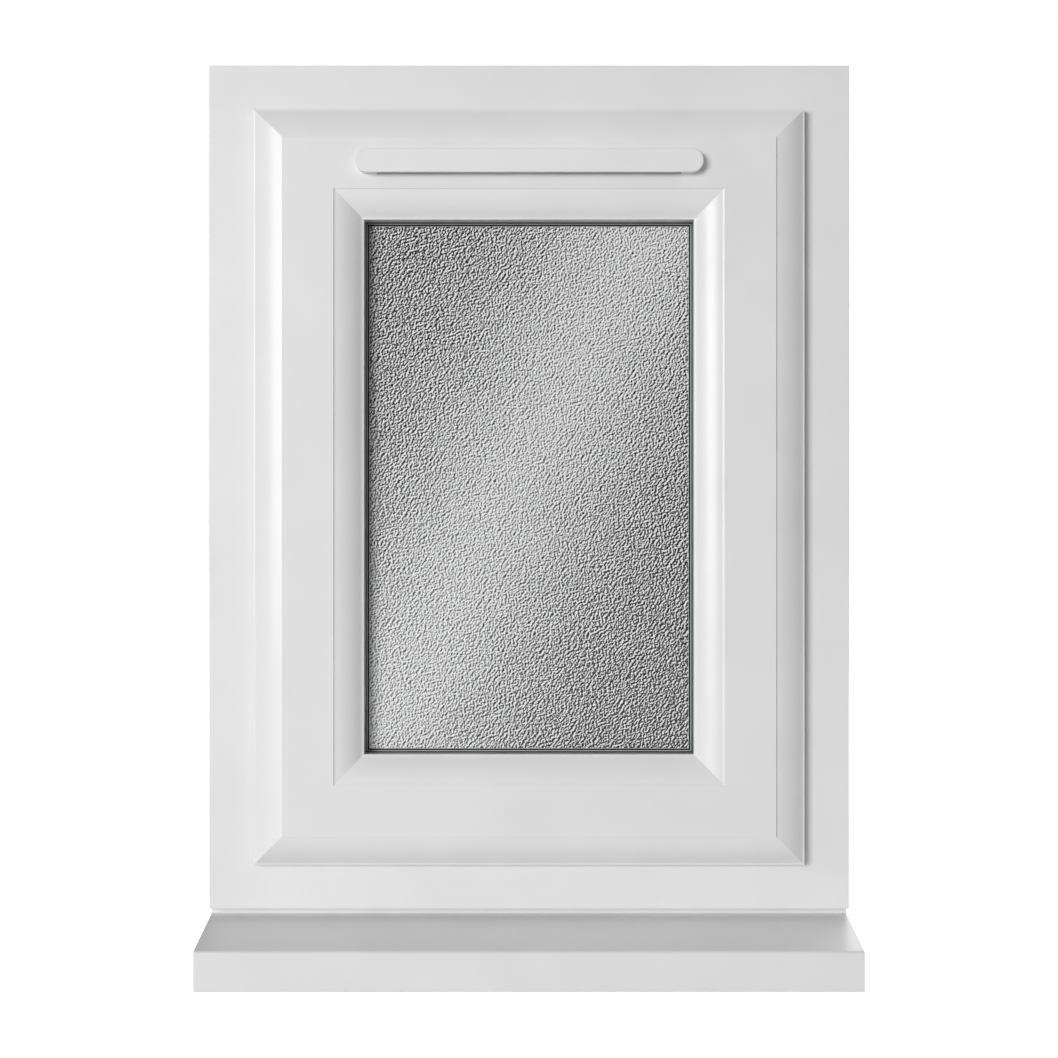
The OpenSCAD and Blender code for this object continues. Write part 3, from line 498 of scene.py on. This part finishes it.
def powder_coat(look):
    """White powder coat on cast metal, with its orange-peel skin"""
    colour = [min(1, c * 1.04) for c in look.colour]
    material, shader = new_material("powder_coat", colour, 0.28)
    add_colour(material, shader, grain(material, size=0.02, detail=3),
               shades(colour, low=0.98, high=1.01))
    shader.inputs["Coat Weight"].default_value = 0.4
    shader.inputs["Coat Roughness"].default_value = 0.12
    add_bump(material, shader, grain(material, size=0.0016, detail=1), depth=0.00006)
    return material


def polished_chrome():
    """Chrome with a few fine rubs"""
    material, shader = new_material("chrome", (0.78, 0.79, 0.8), 0.08, metallic=1.0)
    rubs = grain(material, size=0.0008, detail=5, stretch=(5, 1, 1))
    link(material, spread(material, rubs, 0.04, 0.16), shader.inputs["Roughness"])
    add_bump(material, shader, rubs, depth=0.000004)
    return material


def pale_floor():
    """Pale studio floor with a soft mottle, glowing enough to be as white as the background"""
    material, shader = new_material("studio_floor", FLOOR_GREY, 0.8)
    shader.inputs["Emission Color"].default_value = (1, 1, 1, 1)
    shader.inputs["Emission Strength"].default_value = 1.0
    add_colour(material, shader, grain(material, size=0.4, detail=3),
               shades(FLOOR_GREY, low=0.985, high=1.01))
    return material


# Mesh helpers


def keep_object(name, mesh, material, like, smooth=35):
    """A new piece of one material or several, which rides with a CAD node's body and replaces the node;
    edges sharper than smooth degrees stay sharp"""
    piece = bpy.data.objects.new(name, mesh)
    bpy.context.scene.collection.objects.link(piece)
    if mesh.materials:  # clearing an empty list would still wipe which face has which material
        mesh.materials.clear()
    for finish in material if isinstance(material, tuple) else (material,):
        mesh.materials.append(finish)
    mesh.shade_smooth()
    mesh.set_sharp_from_angle(angle=math.radians(smooth))
    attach(piece, BODIES[like])
    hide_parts(like)
    even = piece.modifiers.new("flat faces", "WEIGHTED_NORMAL")
    even.keep_sharp = True
    return piece


def finished(node, material, edge=0.0, segments=2, smooth=35):
    """The node's own shape as one welded mesh with rounded edges and smooth curves"""
    source = frame["nodes"][node]
    mesh = bpy.data.meshes.new(node + "_finish")
    work = bmesh.new()
    work.from_mesh(source.data)
    bmesh.ops.remove_doubles(work, verts=work.verts, dist=WELD_GAP)
    bmesh.ops.dissolve_limit(work, angle_limit=FLAT_ANGLE, verts=work.verts, edges=work.edges)
    bmesh.ops.recalc_face_normals(work, faces=work.faces)
    if edge:
        corners = [
            e for e in work.edges
            if len(e.link_faces) == 2 and e.calc_face_angle(0) > EDGE_ANGLE
        ]
        bmesh.ops.bevel(work, geom=corners, offset=edge, segments=segments, profile=0.5,
                        affect="EDGES", clamp_overlap=True)
    work.to_mesh(mesh)
    work.free()
    for colour_layer in list(mesh.color_attributes):
        mesh.color_attributes.remove(colour_layer)
    return keep_object(node + "_finish", mesh, material, node, smooth)


def coat(nodes, material):
    """Gives CAD nodes that keep their own mesh a finish"""
    for node in nodes:
        slots = frame["nodes"][node].data.materials
        slots.clear()
        slots.append(material)


def stipple(rows, columns, pitch, size, seed):
    """Random relief of about unit height, of beads all of a size that lean up to the right"""
    field = np.random.default_rng(seed).standard_normal((rows, columns))
    up = np.fft.fftfreq(rows, pitch)[:, None]
    across = np.fft.rfftfreq(columns, pitch)[None, :]
    along = (up + across) / math.sqrt(2)
    athwart = (up - across) / math.sqrt(2)
    band = (up**2 + across**2) * np.exp(-2 * (math.pi * size) ** 2 * (1.1 * along**2 + 0.9 * athwart**2))
    field = np.fft.irfft2(np.fft.rfft2(field) * band, s=(rows, columns))
    return field / np.abs(field).max()


def sheet_lines(low, high, look, sight):
    """Where the sheet's points lie along one side: its edge, both sides of the dark line, the stipple"""
    edge = np.array([0, look.line_at - look.line_width / 2, look.line_at + look.line_width / 2])
    edge[1:] += sight
    start = low + sight + look.margin
    end = high - sight - look.margin
    inside = np.linspace(start, end, int((end - start) / look.pitch))
    return np.concatenate([low + edge, inside, high - edge[::-1]])


def stippled_sheet(name, low, high, look, sight):
    """A pane whose outside face is rolled with the stipple, inside a smooth margin with a dark line;
    sight is how far in from the pane's edge the frame stops covering it"""
    x = sheet_lines(low.x, high.x, look, sight)
    z = sheet_lines(low.z, high.z, look, sight)
    columns, rows = len(x), len(z)
    beads = stipple(rows - 2 * SMOOTH_ROWS, columns - 2 * SMOOTH_ROWS, look.pitch, look.grain, look.seed)
    relief = np.pad(beads, SMOOTH_ROWS, constant_values=SMOOTH_HEIGHT)
    front = low.y + (1 - relief) / 2 * look.relief
    points = np.stack([np.tile(x, rows), front.ravel(), np.repeat(z, columns)], axis=1)
    corner = np.arange(rows - 1)[:, None] * columns + np.arange(columns - 1)[None, :]
    quads = np.stack([corner, corner + 1, corner + columns + 1, corner + columns], axis=2).reshape(-1, 4)
    mesh = bpy.data.meshes.new(name)
    mesh.from_pydata(points.tolist(), [], quads.tolist())

    row = np.arange(rows - 1)[:, None]
    column = np.arange(columns - 1)[None, :]
    ring = np.minimum(np.minimum(row, rows - 2 - row), np.minimum(column, columns - 2 - column))
    # Rings from the edge inwards: smooth glass, the dark line, smooth glass, then all stipple
    finishes = np.array([1, 2, 1, 0])[np.minimum(ring, 3)]
    mesh.polygons.foreach_set("material_index", finishes.ravel().astype(np.int32))

    work = bmesh.new()
    work.from_mesh(mesh)
    rim = [e for e in work.edges if e.is_boundary]
    extruded = bmesh.ops.extrude_edge_only(work, edges=rim)["geom"]
    for vertex in extruded:
        if isinstance(vertex, bmesh.types.BMVert):
            vertex.co.y = high.y
    back = [e for e in extruded if isinstance(e, bmesh.types.BMEdge) and e.is_boundary]
    bmesh.ops.contextual_create(work, geom=back)
    bmesh.ops.recalc_face_normals(work, faces=work.faces)
    work.to_mesh(mesh)
    work.free()
    return mesh


# Operators, one for each group of pieces


class WINDOW_OT_bars(bpy.types.Operator):
    """Finish the welded bars of the frame and the sash, and the glazing beads"""

    bl_idname = "window.bars"
    bl_label = "Frame, sash and beads"

    def execute(self, context):
        look = context.scene.window_plastic
        plastic = extruded_plastic(look)
        for node in FRAME_BARS + SASH_BARS + BEADS:
            finished(node, plastic)
        return {"FINISHED"}


class WINDOW_OT_sill(bpy.types.Operator):
    """Finish the sill and its two end caps"""

    bl_idname = "window.sill"
    bl_label = "Sill"

    def execute(self, context):
        look = context.scene.window_plastic
        plastic = extruded_plastic(look)
        plastic.name = "sill_plastic"
        for node in ("sill", "sill_cap_left", "sill_cap_right"):
            finished(node, plastic)
        return {"FINISHED"}


class WINDOW_OT_glazing(bpy.types.Operator):
    """Make the stippled pane and finish the rest of the sealed unit"""

    bl_idname = "window.glazing"
    bl_label = "Glass"

    def execute(self, context):
        look = context.scene.window_glass
        low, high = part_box("outer_pane")
        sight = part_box("sash_hinge_stile")[1].x - low.x
        sheet = stippled_sheet("stippled_pane", low, high, look, sight)
        finishes = (stippled_glass(look, (low + high) / 2), margin_glass(), edge_black())
        keep_object("stippled_pane", sheet, finishes, "outer_pane", smooth=60)
        coat(["inner_pane"], clear_glass())
        coat(["spacer_frame"], spacer_metal())
        coat(["edge_sealant"], rubber("sealant"))
        for node in ("outer_gasket", "bead_gasket"):
            finished(node, rubber(node + "_rubber"), edge=0.0004)
        coat(["glazing_packers"], plain_plastic("packer_plastic", (0.05, 0.09, 0.14)))
        return {"FINISHED"}


class WINDOW_OT_seals(bpy.types.Operator):
    """Finish the weather seals"""

    bl_idname = "window.seals"
    bl_label = "Weather seals"

    def execute(self, context):
        for node in ("frame_seal", "sash_seal"):
            finished(node, rubber(node + "_rubber"), smooth=50)
        return {"FINISHED"}


class WINDOW_OT_vent(bpy.types.Operator):
    """Finish the trickle vent's covers and flap"""

    bl_idname = "window.vent"
    bl_label = "Trickle vent"

    def execute(self, context):
        look = context.scene.window_plastic
        plastic = moulded_plastic(look)
        for node in ("vent_canopy", "vent_housing"):
            finished(node, plastic, edge=look.edge, segments=3)
        finished("vent_flap", plastic, edge=0.0003)
        return {"FINISHED"}


class WINDOW_OT_stays(bpy.types.Operator):
    """Finish the two friction stays"""

    bl_idname = "window.stays"
    bl_label = "Friction stays"

    def execute(self, context):
        steel = rolled_steel("stainless_steel", context.scene.window_metal.steel)
        nylon = plain_plastic("grey_nylon", (0.045, 0.048, 0.055))
        for level in ("upper", "lower"):
            for piece in ("stay_track", "short_arm", "long_arm", "sash_bar"):
                finished(f"{level}_{piece}", steel, edge=0.0002)
            finished(f"{level}_shoe", nylon, edge=0.0003)
        for node in ("track_rivets", "bar_rivets"):
            finished(node, steel, edge=0.0002)
        return {"FINISHED"}


class WINDOW_OT_lock(bpy.types.Operator):
    """Finish the espagnolette lock, its cams and its keeps"""

    bl_idname = "window.lock"
    bl_label = "Lock"

    def execute(self, context):
        look = context.scene.window_metal
        steel = rolled_steel("lock_steel", look.steel)
        for node in ("lock_faceplate", "lock_keeps", "lock_cams"):
            finished(node, steel, edge=0.0003)
        zinc = zinc_plate(look.zinc)
        zinc.name = "lock_zinc"
        for node in ("lock_case", "lock_pinion", "lock_bar"):
            finished(node, zinc, edge=0.00015)
        return {"FINISHED"}


class WINDOW_OT_handle(bpy.types.Operator):
    """Finish the handle, its cover, spindle and button"""

    bl_idname = "window.handle"
    bl_label = "Handle"

    def execute(self, context):
        paint = powder_coat(context.scene.window_plastic)
        finished("handle_lever", paint, edge=0.0015, segments=4, smooth=50)
        finished("handle_cover", paint, edge=0.0015, segments=4, smooth=50)
        finished("lock_button", polished_chrome(), edge=0.0006, segments=3)
        coat(["handle_base", "handle_spindle"], zinc_plate(context.scene.window_metal.zinc))
        return {"FINISHED"}


class WINDOW_OT_fixings(bpy.types.Operator):
    """Finish the screws and the steel tubes inside the bars"""

    bl_idname = "window.fixings"
    bl_label = "Screws and steels"

    def execute(self, context):
        zinc = zinc_plate(context.scene.window_metal.zinc)
        zinc.name = "screw_zinc"
        for node in ("track_screws", "bar_screws", "keep_screws", "lock_screws", "vent_screws",
                     "sill_screws", "handle_screws"):
            finished(node, zinc, edge=0.0001)
        coat(["frame_steels", "sash_steels"], galvanised((0.55, 0.56, 0.57)))
        return {"FINISHED"}


def area_light(name, target, place, size, power):
    """A soft rectangular light that looks at a point, placed from that point"""
    data = bpy.data.lights.new(name, "AREA")
    data.shape = "RECTANGLE"
    data.size, data.size_y = size
    data.energy = power
    lamp = bpy.data.objects.new(name, data)
    lamp.location = target + place
    lamp.rotation_euler = (-place).to_track_quat("-Z", "Y").to_euler()
    bpy.context.scene.collection.objects.link(lamp)


class WINDOW_OT_stage(bpy.types.Operator):
    """Make the floor, the lights, the surroundings and the camera"""

    bl_idname = "window.stage"
    bl_label = "Stage"

    def execute(self, context):
        scene = context.scene
        sizes = scene.window_stage
        scene.view_settings.view_transform = "Standard"
        middle = Vector((0, 0, (FRAME_BOTTOM + FRAME_TOP) / 2))

        bpy.ops.mesh.primitive_plane_add(size=FLOOR_SIZE, location=(0, 0, CAD_LOW.z))
        floor = context.object
        floor.name = "studio_floor"
        floor.data.materials.append(pale_floor())
        floor.visible_diffuse = False  # its glow lights nothing

        world = bpy.data.worlds.new("studio")
        world.use_nodes = True
        scene.world = world
        nodes = world.node_tree.nodes
        links = world.node_tree.links
        around = nodes["Background"]
        around.inputs["Color"].default_value = (1, 1, 1, 1)
        around.inputs["Strength"].default_value = sizes.ambient
        backdrop = nodes.new("ShaderNodeBackground")
        backdrop.inputs["Color"].default_value = (1, 1, 1, 1)
        backdrop.inputs["Strength"].default_value = 1.0
        path = nodes.new("ShaderNodeLightPath")
        either = nodes.new("ShaderNodeMixShader")
        links.new(path.outputs["Is Camera Ray"], either.inputs[0])
        links.new(around.outputs[0], either.inputs[1])
        links.new(backdrop.outputs[0], either.inputs[2])
        links.new(either.outputs[0], nodes["World Output"].inputs["Surface"])

        area_light("key_light", middle, KEY_PLACE, KEY_SIZE, sizes.key_power)
        area_light("room_light", middle, ROOM_PLACE, ROOM_SIZE, sizes.key_power * ROOM_SHARE)

        data = bpy.data.cameras.new("camera")
        data.lens = sizes.lens
        data.sensor_width = 36
        camera = bpy.data.objects.new("camera", data)
        camera.location = (0, FRAME_FACE - sizes.distance, FRAME_BOTTOM + sizes.height)
        camera.rotation_euler = (math.pi / 2, 0, 0)
        scene.collection.objects.link(camera)
        scene.camera = camera
        return {"FINISHED"}


class WINDOW_PT_panel(bpy.types.Panel):
    """Buttons for each group of pieces"""

    bl_label = "Casement window"
    bl_idname = "WINDOW_PT_panel"
    bl_space_type = "VIEW_3D"
    bl_region_type = "UI"
    bl_category = "Window"

    def draw(self, context):
        for operator in OPERATORS:
            self.layout.operator(operator.bl_idname)
        for group in ("window_plastic", "window_glass", "window_metal", "window_stage"):
            box = self.layout.box()
            values = getattr(context.scene, group)
            for name in values.__annotations__:
                box.prop(values, name)


GROUPS = {
    "window_plastic": PlasticLook,
    "window_glass": GlassLook,
    "window_metal": MetalLook,
    "window_stage": StageSizes,
}
OPERATORS = (
    WINDOW_OT_stage,
    WINDOW_OT_bars,
    WINDOW_OT_sill,
    WINDOW_OT_glazing,
    WINDOW_OT_seals,
    WINDOW_OT_vent,
    WINDOW_OT_stays,
    WINDOW_OT_lock,
    WINDOW_OT_handle,
    WINDOW_OT_fixings,
)
CLASSES = (*GROUPS.values(), *OPERATORS, WINDOW_PT_panel)


def register():
    for cls in CLASSES:
        bpy.utils.register_class(cls)
    for name, group in GROUPS.items():
        setattr(bpy.types.Scene, name, PointerProperty(type=group))


def unregister():
    for name in GROUPS:
        delattr(bpy.types.Scene, name)
    for cls in reversed(CLASSES):
        bpy.utils.unregister_class(cls)


def main():
    register()
    bpy.ops.window.stage()
    bpy.ops.window.bars()
    bpy.ops.window.sill()
    bpy.ops.window.glazing()
    bpy.ops.window.seals()
    bpy.ops.window.vent()
    bpy.ops.window.stays()
    bpy.ops.window.lock()
    bpy.ops.window.handle()
    bpy.ops.window.fixings()


if __name__ == "__main__":
    main()
